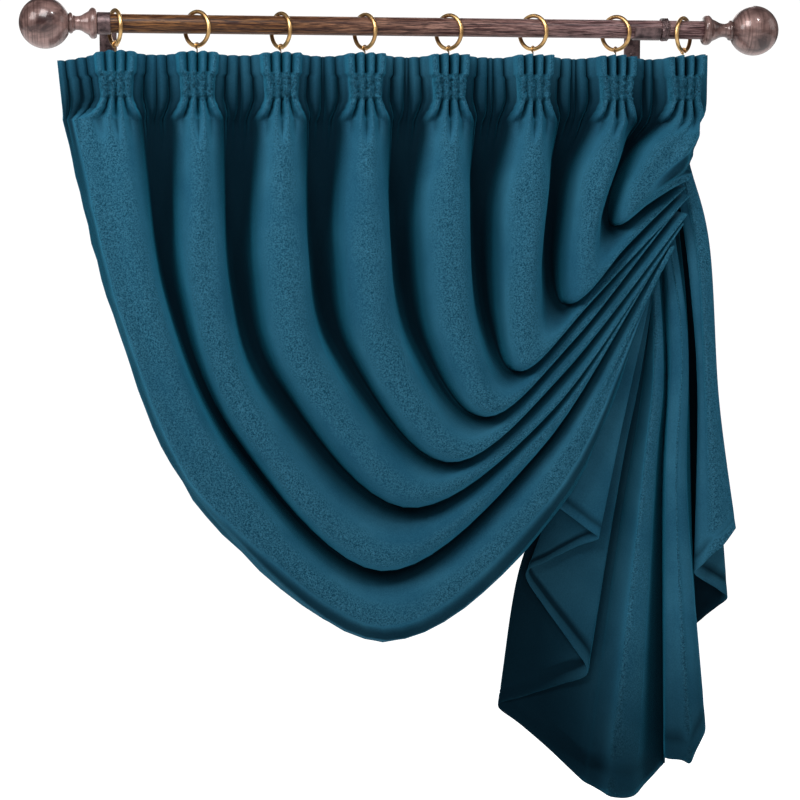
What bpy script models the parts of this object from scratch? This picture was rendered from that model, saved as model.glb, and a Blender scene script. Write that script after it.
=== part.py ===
# Velvet curtain on a rod: a pleated swag, a cascading tail, rings, hooks, brackets and finials.
# X runs along the rod, +Y points into the wall, +Z is up.
# The origin is the centre of the left wall plate's back face, at the height of the rod's axis.

import math

import bmesh
import bpy
from mathutils import Matrix, Vector

MM = 0.001
GAP = 0.3  # clearance between pieces that touch, in millimetres
BORE_GAP = 0.4  # clearance of a faceted bore on a faceted rod
CLOTH = 1.8  # thickness of the velvet

ROD_RADIUS = 14.0
ROD_STAND_OFF = 90.0  # from the wall to the rod's axis
ROD_START = -17.0
ROD_END = 913.0
ROD_SIDES = 28

BRACKETS = {
    # name: plate centre, arm centre, sleeve start, sleeve end, all along X
    "bracket_left": (0.0, -6.0, -16.5, 3.5),
    "bracket_right": (818.0, 818.0, 796.5, 839.0),
}
PLATE_WIDTH = 26.0
PLATE_THICKNESS = 5.0
PLATE_TOP = 18.0
PLATE_BOTTOM = -78.0
PLATE_BEVEL = 1.5
ARM_RADIUS = 4.5
ARM_SIDES = 16
SLEEVE_RADIUS = 16.5
BORE_OVERRUN = 5.0  # how far the cutter for the sleeve's bore runs past each end
STOP_COLLAR = {
    # start and end along X, outer radius, how far its rim slopes in and along
    "start": 840.0, "end": 851.5, "radius": 17.5, "slope_in": 1.5, "slope_along": 3.0,
}
COLLAR_STEPS = 24

FINIAL_PROFILE = (
    # along the rod from the finial's foot, radius
    (0.0, 0.0),
    (0.0, 19.0),
    (2.0, 22.0),
    (5.5, 22.8),
    (9.0, 21.5),
    (11.5, 18.0),
    (17.0, 14.5),
    (22.0, 11.2),
    (29.0, 10.5),
    (34.0, 12.5),
    (36.0, 15.0),
    (38.5, 15.0),
    (40.5, 13.0),
)
BALL_CENTRE = 75.0
BALL_RADIUS = 38.0
BALL_STEPS = 9
FINIAL_STEPS = 20

RING_RADIUS = 24.8  # to the middle of the wire
RING_WIRE = 2.6
RING_STEPS = 24
RING_SIDES = 6
HOOK_LOOP = 4.3
HOOK_LOOP_ARC = {"start": -40, "step": 31, "points": 11}  # in degrees, round the ring's foot
HOOK_WIRE = 1.1
HOOK_DEPTH = 62.0  # how far below the rod's axis the pin ends
PLEATS = (
    # across: the ring's and the pleat's place along X; turn: how far the ring's front is swung right
    {"across": 10.0, "turn": 20.0},
    {"across": 131.0, "turn": 42.0},
    {"across": 256.0, "turn": 29.0},
    {"across": 383.0, "turn": 32.0},
    {"across": 511.0, "turn": 40.0},
    {"across": 641.0, "turn": 42.0},
    {"across": 770.0, "turn": 42.0},
    {"across": 877.0, "turn": -40.0},
)

# The heading: a line of four fingers at each pleat, seen in plan, from the pleat's middle outwards.
FINGERS = (
    # out: distance from the pleat's middle, forward: share of the finger's depth
    {"out": 0.0, "forward": 0.0},
    {"out": 8.8, "forward": 1.0},
    {"out": 17.6, "forward": 0.30},
    {"out": 26.4, "forward": 0.85},
    {"out": 35.2, "forward": 0.0},
)
HEADING_BACK = -(ROD_STAND_OFF + HOOK_WIRE + GAP + CLOTH / 2)
HEADING_CORNERS = {"left": -75.0, "right": 915.0}
HEADING_TOPS = {"pleat": -40.0, "between": -45.0, "left": -55.0, "right": -38.0}
HEADING_ROWS = (
    # drop: share of the way from the top edge to the end of the heading; spread: width of the pleat;
    # depth: how far the fingers stand out; fold: share of the fold below that has formed
    {"drop": 0.00, "spread": 1.00, "depth": 27.0, "fold": 0.0},
    {"drop": 0.30, "spread": 1.00, "depth": 27.0, "fold": 0.0},
    {"drop": 0.50, "spread": 0.72, "depth": 21.0, "fold": 0.05},
    {"drop": 0.70, "spread": 0.72, "depth": 21.0, "fold": 0.15},
    {"drop": 0.86, "spread": 0.95, "depth": 24.0, "fold": 0.60},
)

# The swag: each line runs from the heading down, round the belly and up to the gathers on the right.
STATIONS = ("top", "fall", "turn", "belly", "rise", "gather")
SWAG_LINES = (
    # (across, height) at each station
    {"line": "edge", "top": (-68, -142), "fall": (5, -440), "turn": (130, -725),
     "belly": (410, -935), "rise": (680, -735), "gather": (860, -356)},
    {"line": "fold_1", "top": (10, -142), "fall": (50, -407), "turn": (170, -680),
     "belly": (400, -893), "rise": (650, -705), "gather": (866, -332)},
    {"line": "fold_2", "top": (131, -142), "fall": (137, -393), "turn": (198, -592),
     "belly": (403, -798), "rise": (645, -625), "gather": (866, -313)},
    {"line": "fold_3", "top": (256, -142), "fall": (256, -350), "turn": (287, -510),
     "belly": (449, -700), "rise": (661, -580), "gather": (867, -297)},
    {"line": "fold_4", "top": (383, -142), "fall": (380, -320), "turn": (404, -488),
     "belly": (520, -642), "rise": (684, -515), "gather": (868, -282)},
    {"line": "fold_5", "top": (511, -142), "fall": (503, -290), "turn": (520, -473),
     "belly": (578, -570), "rise": (700, -465), "gather": (869, -268)},
    {"line": "fold_6", "top": (641, -142), "fall": (625, -275), "turn": (617, -426),
     "belly": (630, -502), "rise": (722, -412), "gather": (870, -254)},
    {"line": "fold_7", "top": (770, -142), "fall": (740, -215), "turn": (714, -320),
     "belly": (718, -387), "rise": (786, -318), "gather": (871, -241)},
    {"line": "fold_8", "top": (874, -142), "fall": (835, -177), "turn": (797, -223),
     "belly": (785, -265), "rise": (823, -250), "gather": (872, -228)},
    {"line": "return", "top": (903, -142), "fall": (901, -160), "turn": (892, -180),
     "belly": (884, -196), "rise": (880, -206), "gather": (878, -214)},
)
SWAG_FORM = {
    # distance from the wall of the folds and of the two edges, depth of the valleys,
    # how far a valley lies towards the inner fold, and how much broader the folds are than the valleys
    "fold": {"top": 122, "fall": 150, "turn": 158, "belly": 165, "rise": 142, "gather": 118},
    "edge": {"top": 94, "fall": 100, "turn": 106, "belly": 118, "rise": 122, "gather": 105},
    "valley": {"top": 28, "fall": 55, "turn": 56, "belly": 44, "rise": 28, "gather": 3},
    "lean": {"top": 0.0, "fall": -0.04, "turn": -0.02, "belly": 0.16, "rise": 0.08, "gather": 0.0},
    "fullness": {"top": 0.2, "fall": 0.55, "turn": 0.55, "belly": 0.5, "rise": 0.2, "gather": 0.0},
}
SECTION_STEPS = 10  # columns from one fold to the next, two for each finger and gap
SWAG_ROWS = 18

# The tail: a zigzag of creases, each from behind the gathers down to the hem.
DROPS = ("top", "shoulder", "middle", "hem")
CREASES = (
    # (across, height, distance from the wall) at each drop of each crease
    {"top": (826, -356, 90), "shoulder": (792, -445, 94), "middle": (753, -538, 97), "hem": (667, -724, 100)},
    {"top": (835, -371, 93), "shoulder": (815, -470, 98), "middle": (791, -577, 102), "hem": (752, -785, 104)},
    {"top": (760, -500, 86), "shoulder": (722, -600, 87), "middle": (688, -695, 88), "hem": (629, -838, 90)},
    {"top": (838, -400, 82), "shoulder": (817, -540, 83), "middle": (790, -681, 84), "hem": (743, -1008, 84)},
    {"top": (755, -520, 74), "shoulder": (690, -690, 73), "middle": (629, -838, 72), "hem": (597, -1049, 68)},
    {"top": (842, -392, 68), "shoulder": (818, -590, 66), "middle": (786, -795, 64), "hem": (725, -1170, 84)},
    {"top": (846, -368, 90), "shoulder": (834, -530, 102), "middle": (816, -695, 108), "hem": (765, -1197, 110)},
    {"top": (854, -356, 94), "shoulder": (849, -530, 98), "middle": (838, -696, 98), "hem": (812, -1198, 102)},
    {"top": (860, -342, 78), "shoulder": (864, -530, 66), "middle": (860, -717, 62), "hem": (868, -1159, 62)},
    {"top": (864, -325, 92), "shoulder": (859, -500, 104), "middle": (853, -711, 108), "hem": (858, -1138, 106)},
    {"top": (868, -308, 98), "shoulder": (874, -490, 116), "middle": (867, -726, 118), "hem": (895, -1147, 118)},
    {"top": (871, -290, 92), "shoulder": (885, -480, 106), "middle": (887, -727, 108), "hem": (923, -1092, 108)},
    {"top": (872, -270, 76), "shoulder": (893, -430, 66), "middle": (902, -638, 62), "hem": (911, -941, 62)},
    {"top": (878, -250, 80), "shoulder": (925, -400, 78), "middle": (936, -574, 78), "hem": (966, -890, 80)},
    {"top": (872, -236, 88), "shoulder": (892, -390, 93), "middle": (906, -572, 95), "hem": (902, -846, 95)},
    {"top": (874.8, -224, 104.8), "shoulder": (900, -345, 112), "middle": (911, -507, 116), "hem": (931, -811, 116)},
    {"top": (884.8, -204, 104.8), "shoulder": (918, -330, 106), "middle": (936, -571, 108), "hem": (966, -771, 110)},
)
TAIL_ROWS = 11
CREASE_ROUNDING = 0.2  # share of a panel that bends round its crease
CREASE_GAP = 3.2  # how far the cloth on each side of a sharp crease is held from its middle
SHARP_TURN = 10.0  # a crease whose panels part by this much in depth is fully sharp

SHARP_ANGLE = 35  # edges that turn by more degrees than this stay sharp
MERGE_DISTANCE = 0.05

COLOURS = {
    # base colour, roughness, metallic
    "velvet": ((0.012, 0.085, 0.125), 0.85, 0.0),
    "walnut": ((0.050, 0.022, 0.016), 0.45, 0.0),
    "bronze": ((0.090, 0.052, 0.045), 0.35, 0.3),
    "brass": ((0.720, 0.500, 0.200), 0.25, 1.0),
}


def clear_scene():
    for old in list(bpy.data.objects):
        bpy.data.objects.remove(old)


def new_collection(name):
    group = bpy.data.collections.new(name)
    bpy.context.scene.collection.children.link(group)
    return group


def new_material(name):
    colour, roughness, metallic = COLOURS[name]
    material = bpy.data.materials.new(name)
    material.use_nodes = True
    shader = material.node_tree.nodes["Principled BSDF"]
    shader.inputs["Base Color"].default_value = (*colour, 1.0)
    shader.inputs["Roughness"].default_value = roughness
    shader.inputs["Metallic"].default_value = metallic
    return material


def add_object(name, data, material, group):
    piece = bpy.data.objects.new(name, data)
    piece.data.materials.append(material)
    group.objects.link(piece)
    return piece


def mesh_from(shape, name, smooth=True):
    mesh = bpy.data.meshes.new(name)
    shape.to_mesh(mesh)
    shape.free()
    if smooth:
        mesh.shade_smooth()
    return mesh


def through(points, t):
    """The point at t on the smooth curve through the points, one unit of t for each."""
    last = len(points) - 1
    i = min(int(t), last - 1)
    f = t - i
    b, c = points[i], points[i + 1]
    a = points[i - 1] if i > 0 else b + (b - c)
    d = points[i + 2] if i + 2 <= last else c + (c - b)
    bend = (c - a) * f + (a * 2 - b * 5 + c * 4 - d) * f * f + (b * 3 - a - c * 3 + d) * f * f * f
    return b + bend * 0.5


def ease(f):
    return f * f * (3 - 2 * f)


def swag_curves():
    """Each line's points in space, and the form of the valleys between them, station by station."""
    lines = []
    for row in SWAG_LINES:
        kind = "fold" if row["line"].startswith("fold") else "edge"
        depths = SWAG_FORM[kind]
        lines.append([Vector((row[s][0], -depths[s], row[s][1])) for s in STATIONS])
    form = [Vector([SWAG_FORM[part][s] for part in ("valley", "lean", "fullness")]) for s in STATIONS]
    return lines, form


def swag_columns():
    """Columns across the cloth: the two lines each lies between, and its phase from 0 to 1."""
    half = SECTION_STEPS // 2
    last = len(SWAG_LINES) - 1
    columns = [(0, j / SECTION_STEPS) for j in range(half, SECTION_STEPS)]
    for line in range(1, last - 1):
        columns += [(line, j / SECTION_STEPS) for j in range(SECTION_STEPS)]
    columns += [(last - 1, j / SECTION_STEPS) for j in range(half + 1)]
    return columns


def edge_point(edge, fold, share):
    """A point between an edge and its nearest fold, rounding off as it nears either."""
    point = edge.lerp(fold, share)
    point.y = edge.y + (fold.y - edge.y) * ease(share)
    return point


def fold_point(line, phase, t, lines, form):
    """A point of the swag: phase runs from one fold to the next, t from the heading to the gathers."""
    near, far = through(lines[line], t), through(lines[line + 1], t)
    if line == 0:
        return edge_point(near, far, 2 * phase - 1)
    if line == len(lines) - 2:
        return edge_point(far, near, 1 - 2 * phase)
    valley, lean, fullness = through(form, t)
    turn = 2 * math.pi * phase
    across = phase + fullness * math.sin(turn) / (2 * math.pi) + lean * math.sin(turn / 2) ** 2
    point = near.lerp(far, across)
    point.y += valley * (1 - math.cos(turn)) / 2
    return point


def heading_point(line, phase, row, fold_top):
    """A point of the heading: four fingers at each pleat, the cloth flat between the pleats."""
    half = SECTION_STEPS // 2
    step = round(phase * SECTION_STEPS)
    pleats = len(PLEATS)
    toward_next = step > half or (line == 0)
    pleat = line if toward_next else line - 1
    out_step = SECTION_STEPS - step if toward_next else step
    side = -1 if toward_next else 1
    if out_step < half:
        finger = FINGERS[out_step]
        across = PLEATS[pleat]["across"] + side * finger["out"] * row["spread"]
        forward = finger["forward"] * row["depth"]
        top = HEADING_TOPS["pleat"]
    else:
        forward = 0.0
        if line == 0:
            across, top = HEADING_CORNERS["left"], HEADING_TOPS["left"]
        elif line == pleats:
            across, top = HEADING_CORNERS["right"], HEADING_TOPS["right"]
        else:
            across = (PLEATS[line - 1]["across"] + PLEATS[line]["across"]) / 2
            top = HEADING_TOPS["between"]
    upper = Vector((across, HEADING_BACK - forward, 0))
    point = upper.lerp(fold_top, row["fold"])
    point.z = top + (fold_top.z - top) * row["drop"]
    return point


def cloth_object(name, rows, material, group):
    """A sheet through rows of points: a grid whose points are moved to their places, then thickened."""
    tall, wide = len(rows), len(rows[0])
    shape = bmesh.new()
    bmesh.ops.create_grid(shape, x_segments=wide - 1, y_segments=tall - 1, size=1)
    shape.verts.ensure_lookup_table()
    for vert in shape.verts:
        column = round((vert.co.x + 1) / 2 * (wide - 1))
        row = round((1 - vert.co.y) / 2 * (tall - 1))
        vert.co = rows[row][column] * MM
    piece = add_object(name, mesh_from(shape, name), material, group)
    wall = piece.modifiers.new("cloth", "SOLIDIFY")
    wall.thickness = CLOTH * MM
    wall.offset = 0
    return piece


def build_swag(material, group):
    lines, form = swag_curves()
    columns = swag_columns()
    lower = []
    for r in range(SWAG_ROWS + 1):
        t = (len(STATIONS) - 1) * r / SWAG_ROWS
        lower.append([fold_point(line, phase, t, lines, form) for line, phase in columns])
    upper = []
    for row in HEADING_ROWS:
        upper.append([heading_point(*column, row, top) for column, top in zip(columns, lower[0])])
    return cloth_object("swag_panel", upper + lower, material, group)


def crease_section(t):
    """The tail's zigzag at t of the way down, with every crease rounded by three points."""
    places = []
    for crease in CREASES:
        x, height, depth = through([Vector(crease[drop]) for drop in DROPS], (len(DROPS) - 1) * t)
        places.append(Vector((x, -depth, height)))
    section = [places[0]]
    for before, here, after in zip(places, places[1:], places[2:]):
        back, ahead = (before - here) * CREASE_ROUNDING, (after - here) * CREASE_ROUNDING
        sharpness = max(-1, min(1, (after.y - before.y) / SHARP_TURN))
        apart = Vector((0, CREASE_GAP * sharpness, 0))
        section += [here + back - apart, here + (back + ahead) / 4, here + ahead + apart]
    section.append(places[-1])
    return section


def build_tail(material, group):
    rows = [crease_section(r / TAIL_ROWS) for r in range(TAIL_ROWS + 1)]
    return cloth_object("tail_panel", rows, material, group)


def cylinder_along(axis, radius, start, end, sides):
    """A closed cylinder from start to end, lying along X or Y."""
    shape = bmesh.new()
    length = end - start
    bmesh.ops.create_cone(shape, cap_ends=True, segments=sides, radius1=radius * MM, radius2=radius * MM,
                          depth=length * MM)
    turn = Matrix.Rotation(math.radians(90), 4, "Y" if axis == "X" else "X")
    bmesh.ops.transform(shape, matrix=turn, verts=shape.verts)
    middle = (start + length / 2) * MM
    shift = Vector((middle, 0, 0)) if axis == "X" else Vector((0, middle, 0))
    bmesh.ops.translate(shape, vec=shift, verts=shape.verts)
    return shape


def sharp_edges(mesh):
    mesh.set_sharp_from_angle(angle=math.radians(SHARP_ANGLE))


def build_rod(material, group):
    shape = cylinder_along("X", ROD_RADIUS, ROD_START, ROD_END, ROD_SIDES)
    rod = add_object("rod", mesh_from(shape, "rod"), material, group)
    sharp_edges(rod.data)
    rod.location = (0, -ROD_STAND_OFF * MM, 0)
    return rod


def turn_round(piece, steps):
    """Sweeps the piece's outline round its own axis."""
    turning = piece.modifiers.new("turning", "SCREW")
    turning.steps = turning.render_steps = steps
    turning.use_merge_vertices = True
    turning.merge_threshold = MERGE_DISTANCE * MM
    return turning


def finial_outline():
    """Along and radius from the foot, round the ball, to its far pole."""
    start = math.asin(FINIAL_PROFILE[-1][1] / BALL_RADIUS)
    outline = list(FINIAL_PROFILE)
    for step in range(1, BALL_STEPS + 1):
        angle = start + (math.pi - start) * step / BALL_STEPS
        radius = BALL_RADIUS * math.sin(angle) if step < BALL_STEPS else 0.0
        outline.append((BALL_CENTRE - BALL_RADIUS * math.cos(angle), radius))
    return outline


def build_finial(name, foot, direction, material, group):
    """A turned knob, its profile swept round the rod's axis."""
    shape = bmesh.new()
    outline = [shape.verts.new((radius * MM, 0, -along * MM)) for along, radius in finial_outline()]
    for upper, lower in zip(outline, outline[1:]):
        shape.edges.new((upper, lower))
    piece = add_object(name, mesh_from(shape, name), material, group)
    turn_round(piece, FINIAL_STEPS)
    piece.rotation_euler = (0, math.radians(-90 * direction), 0)
    piece.location = (foot * MM, -ROD_STAND_OFF * MM, 0)
    return piece


def add_cutter(name, shape, location, group):
    cutter = bpy.data.objects.new(name, mesh_from(shape, name, smooth=False))
    group.objects.link(cutter)
    cutter.location = location
    cutter.hide_render = True
    cutter.display_type = "WIRE"
    return cutter


def combine(piece, tool, operation):
    step = piece.modifiers.new(tool.name, "BOOLEAN")
    step.operation = operation
    step.object = tool


def build_bracket(name, material, group, cutters):
    """A wall plate with an arm that ends in a sleeve round the rod."""
    plate_x, arm_x, sleeve_start, sleeve_end = BRACKETS[name]
    shape = bmesh.new()
    bmesh.ops.create_cube(shape, size=1)
    size = Vector((PLATE_WIDTH, PLATE_THICKNESS, PLATE_TOP - PLATE_BOTTOM)) * MM
    bmesh.ops.scale(shape, vec=size, verts=shape.verts)
    centre = Vector((plate_x, -PLATE_THICKNESS / 2, (PLATE_TOP + PLATE_BOTTOM) / 2)) * MM
    bmesh.ops.translate(shape, vec=centre, verts=shape.verts)
    piece = add_object(name, mesh_from(shape, name, smooth=False), material, group)
    rounding = piece.modifiers.new("rounding", "BEVEL")
    rounding.width = PLATE_BEVEL * MM
    rounding.segments = 1
    on_axis = Vector((0, -ROD_STAND_OFF * MM, 0))
    arm = cylinder_along("Y", ARM_RADIUS, -ROD_STAND_OFF + ROD_RADIUS, -PLATE_THICKNESS / 2, ARM_SIDES)
    sleeve = cylinder_along("X", SLEEVE_RADIUS, sleeve_start, sleeve_end, ROD_SIDES)
    bore = cylinder_along("X", ROD_RADIUS + BORE_GAP, sleeve_start - BORE_OVERRUN, sleeve_end + BORE_OVERRUN,
                          ROD_SIDES)
    combine(piece, add_cutter(name + "_arm", arm, (arm_x * MM, 0, 0), cutters), "UNION")
    combine(piece, add_cutter(name + "_sleeve", sleeve, on_axis, cutters), "UNION")
    combine(piece, add_cutter(name + "_bore", bore, on_axis, cutters), "DIFFERENCE")
    return piece


def build_stop_collar(material, group):
    """A loose rounded collar on the rod beside the right bracket, turned from its own section."""
    start, end, outer = STOP_COLLAR["start"], STOP_COLLAR["end"], STOP_COLLAR["radius"]
    inner, rim = ROD_RADIUS + BORE_GAP, outer - STOP_COLLAR["slope_in"]
    middle, half = (start + end) / 2, (end - start) / 2
    flat = half - STOP_COLLAR["slope_along"]
    section = [(inner, -half), (inner, half), (rim, half), (outer, flat), (outer, -flat), (rim, -half)]
    shape = bmesh.new()
    corners = [shape.verts.new((radius * MM, 0, along * MM)) for radius, along in section]
    for first, second in zip(corners, corners[1:] + corners[:1]):
        shape.edges.new((first, second))
    piece = add_object("stop_collar", mesh_from(shape, "stop_collar"), material, group)
    turning = turn_round(piece, COLLAR_STEPS)
    turning.use_normal_calculate = True
    piece.rotation_euler = (0, math.radians(90), 0)
    piece.location = (middle * MM, -ROD_STAND_OFF * MM, 0)
    return piece


def ring_height(turn):
    """How high the ring's middle hangs: resting on the rod's top, or on both its flanks when swung far."""
    reach = ROD_RADIUS + RING_WIRE + BORE_GAP
    swing = math.radians(abs(turn))
    hanging = RING_RADIUS - reach
    spare = (RING_RADIUS * math.cos(swing)) ** 2 - reach ** 2
    return -min(hanging, math.sqrt(max(spare, 0)) * math.tan(swing))


def build_ring(number, pleat, material, group):
    bpy.ops.mesh.primitive_torus_add(major_radius=RING_RADIUS * MM, minor_radius=RING_WIRE * MM,
                                     major_segments=RING_STEPS, minor_segments=RING_SIDES)
    ring = bpy.context.object
    ring.name = ring.data.name = f"ring_{number}"
    for owner in list(ring.users_collection):
        owner.objects.unlink(ring)
    group.objects.link(ring)
    ring.data.materials.append(material)
    ring.data.shade_smooth()
    ring.rotation_euler = (0, math.radians(90), math.radians(pleat["turn"]))
    ring.location = Vector((pleat["across"], -ROD_STAND_OFF, ring_height(pleat["turn"]))) * MM
    return ring


def build_hook(number, pleat, material, group):
    """A wire looped round the foot of the ring, with a pin that runs down behind the pleat."""
    swing = math.radians(pleat["turn"])
    ring_foot = ring_height(pleat["turn"]) - RING_RADIUS
    centre = ring_foot + RING_WIRE + BORE_GAP - HOOK_LOOP + HOOK_WIRE
    route = []
    for step in range(HOOK_LOOP_ARC["points"]):
        angle = math.radians(HOOK_LOOP_ARC["start"] + HOOK_LOOP_ARC["step"] * step)
        sideways = HOOK_LOOP * math.cos(angle)
        route.append((sideways * math.cos(swing), sideways * math.sin(swing), centre + HOOK_LOOP * math.sin(angle)))
    route.append((0, 0, -HOOK_DEPTH))
    wire = bpy.data.curves.new(f"hook_{number}", "CURVE")
    wire.dimensions = "3D"
    wire.bevel_depth = HOOK_WIRE * MM
    wire.bevel_resolution = 1
    wire.use_fill_caps = True
    path = wire.splines.new("POLY")
    path.points.add(len(route) - 1)
    for point, place in zip(path.points, route):
        point.co = (*(Vector(place) * MM), 1)
    hook = add_object(f"hook_{number}", wire, material, group)
    hook.location = Vector((pleat["across"], -ROD_STAND_OFF, 0)) * MM
    return hook


def main():
    clear_scene()
    group = new_collection("velvet_curtain")
    cutters = new_collection("cutters")
    materials = {name: new_material(name) for name in COLOURS}
    build_rod(materials["walnut"], group)
    build_finial("finial_left", ROD_START - GAP, -1, materials["bronze"], group)
    build_finial("finial_right", ROD_END + GAP, 1, materials["bronze"], group)
    for name in BRACKETS:
        build_bracket(name, materials["bronze"], group, cutters)
    build_stop_collar(materials["bronze"], group)
    for number, pleat in enumerate(PLEATS, 1):
        build_ring(number, pleat, materials["brass"], group)
        build_hook(number, pleat, materials["brass"], group)
    build_swag(materials["velvet"], group)
    build_tail(materials["velvet"], group)


main()
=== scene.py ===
import bisect
import math
import bmesh
import bpy
from mathutils import Matrix, Vector, noise


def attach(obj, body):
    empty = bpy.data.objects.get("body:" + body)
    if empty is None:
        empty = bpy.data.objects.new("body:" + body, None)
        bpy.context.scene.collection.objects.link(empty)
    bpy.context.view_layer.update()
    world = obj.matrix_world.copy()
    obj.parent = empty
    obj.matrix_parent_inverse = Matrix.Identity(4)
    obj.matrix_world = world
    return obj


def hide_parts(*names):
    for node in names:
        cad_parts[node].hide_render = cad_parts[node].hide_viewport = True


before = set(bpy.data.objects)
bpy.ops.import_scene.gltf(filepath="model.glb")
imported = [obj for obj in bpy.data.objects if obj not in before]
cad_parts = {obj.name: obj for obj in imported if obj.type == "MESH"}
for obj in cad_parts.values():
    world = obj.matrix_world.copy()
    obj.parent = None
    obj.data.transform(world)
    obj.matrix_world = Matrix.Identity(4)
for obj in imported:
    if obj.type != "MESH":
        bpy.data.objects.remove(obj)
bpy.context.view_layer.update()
mm = 0.001
weld = 0.00002  # corners closer than this are made one

view = {
    "target": (435, -100, -565),  # what the camera looks at, in millimetres
    "azimuth": -8.0,
    "elevation": 5.5,
    "distance": 3200,
    "lens": 94.1,
}
rod = {"radius": 14.0, "standOff": 90.0, "start": -17.0, "end": 913.0, "lip": 1.0, "steps": 60}
pleats = (
    # across: place of the ring and pleat along the rod; turn: how far the ring's front is swung right
    {"across": 10.0, "turn": 20.0},
    {"across": 131.0, "turn": 42.0},
    {"across": 256.0, "turn": 29.0},
    {"across": 383.0, "turn": 32.0},
    {"across": 511.0, "turn": 40.0},
    {"across": 641.0, "turn": 42.0},
    {"across": 770.0, "turn": 42.0},
    {"across": 877.0, "turn": -40.0},
)


def polar(azimuth, elevation):
    a, e = math.radians(azimuth), math.radians(elevation)
    return Vector((math.sin(a) * math.cos(e), -math.cos(a) * math.cos(e), math.sin(e)))


def makeCamera():
    lens = bpy.data.cameras.new("camera")
    lens.sensor_width = 36
    lens.lens = view["lens"]
    camera = bpy.data.objects.new("camera", lens)
    back = polar(view["azimuth"], view["elevation"])
    camera.location = (Vector(view["target"]) + back * view["distance"]) * mm
    camera.rotation_euler = (-back).to_track_quat("-Z", "Y").to_euler()
    bpy.context.scene.collection.objects.link(camera)
    bpy.context.scene.camera = camera


makeCamera()
print("camera set")

studio = {
    # height of the floor in millimetres, half its side in metres
    "floor": {"height": -1750, "half": 8, "tones": (0.86, 0.9), "grain": 30, "glow": 1.0},
    "paper": 1.05,  # brightness of the white seen behind
    "sky": 0.11,  # and of the light that comes from all round
    "lamps": (
        # name, azimuth and elevation it shines from, distance, size, watts, height it is aimed at
        ("key", -28, 40, 1.7, 0.8, 31, -180),
        ("fill", 14, 8, 3.2, 1.6, 8, -250),
        ("left", -64, 24, 2.2, 0.8, 19, -250),
        ("right", 84, 22, 2.2, 0.9, 4.5, -300),
        ("glint", 28, 44, 2.4, 0.3, 18, -40),
        ("back", 170, 30, 2.6, 1.6, 26, -565),
    ),
}


def makeStudio():
    world = bpy.data.worlds.new("studio")
    world.use_nodes = True
    tree = world.node_tree
    glow = tree.nodes["Background"]
    glow.inputs["Strength"].default_value = studio["sky"]
    paper = tree.nodes.new("ShaderNodeBackground")
    paper.inputs["Strength"].default_value = studio["paper"]
    for background in (glow, paper):
        background.inputs["Color"].default_value = (1, 1, 1, 1)
    seen = tree.nodes.new("ShaderNodeLightPath")
    either = tree.nodes.new("ShaderNodeMixShader")
    tree.links.new(seen.outputs["Is Camera Ray"], either.inputs["Fac"])
    tree.links.new(glow.outputs[0], either.inputs[1])
    tree.links.new(paper.outputs[0], either.inputs[2])
    tree.links.new(either.outputs[0], tree.nodes["World Output"].inputs["Surface"])
    bpy.context.scene.world = world
    bpy.context.scene.view_settings.view_transform = "Standard"
    for name, azimuth, elevation, distance, size, watts, height in studio["lamps"]:
        middle = Vector((view["target"][0], view["target"][1], height)) * mm
        lamp = bpy.data.lights.new(name, "AREA")
        lamp.size = size
        lamp.energy = watts
        holder = bpy.data.objects.new(name, lamp)
        toward = polar(azimuth, elevation)
        holder.location = middle + toward * distance
        holder.rotation_euler = toward.to_track_quat("Z", "Y").to_euler()
        bpy.context.scene.collection.objects.link(holder)
    shape = bmesh.new()
    bmesh.ops.create_grid(shape, x_segments=2, y_segments=2, size=studio["floor"]["half"])
    bmesh.ops.translate(shape, vec=(0, 0, studio["floor"]["height"] * mm), verts=shape.verts)
    floor = finishMesh(shape, "floor", smooth=False)
    floor.data.materials.append(paleFloor())


def finishMesh(shape, name, smooth=True, recalculate=False):
    if recalculate:
        bmesh.ops.remove_doubles(shape, verts=shape.verts, dist=weld)
        bmesh.ops.recalc_face_normals(shape, faces=shape.faces)
    mesh = bpy.data.meshes.new(name)
    shape.to_mesh(mesh)
    shape.free()
    if smooth:
        mesh.shade_smooth()
    piece = bpy.data.objects.new(name, mesh)
    bpy.context.scene.collection.objects.link(piece)
    return piece


class Wire:  # a shader socket that can stand in a sum
    def __init__(self, finish, socket):
        self.finish = finish
        self.socket = socket

    def maths(self, operation, *values):
        return self.finish.add("ShaderNodeMath", {"operation": operation}, values)

    def __add__(self, other):
        return self.maths("ADD", self, other)

    def __radd__(self, other):
        return self.maths("ADD", other, self)

    def __sub__(self, other):
        return self.maths("SUBTRACT", self, other)

    def __rsub__(self, other):
        return self.maths("SUBTRACT", other, self)

    def __mul__(self, other):
        return self.maths("MULTIPLY", self, other)

    def __rmul__(self, other):
        return self.maths("MULTIPLY", other, self)


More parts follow.
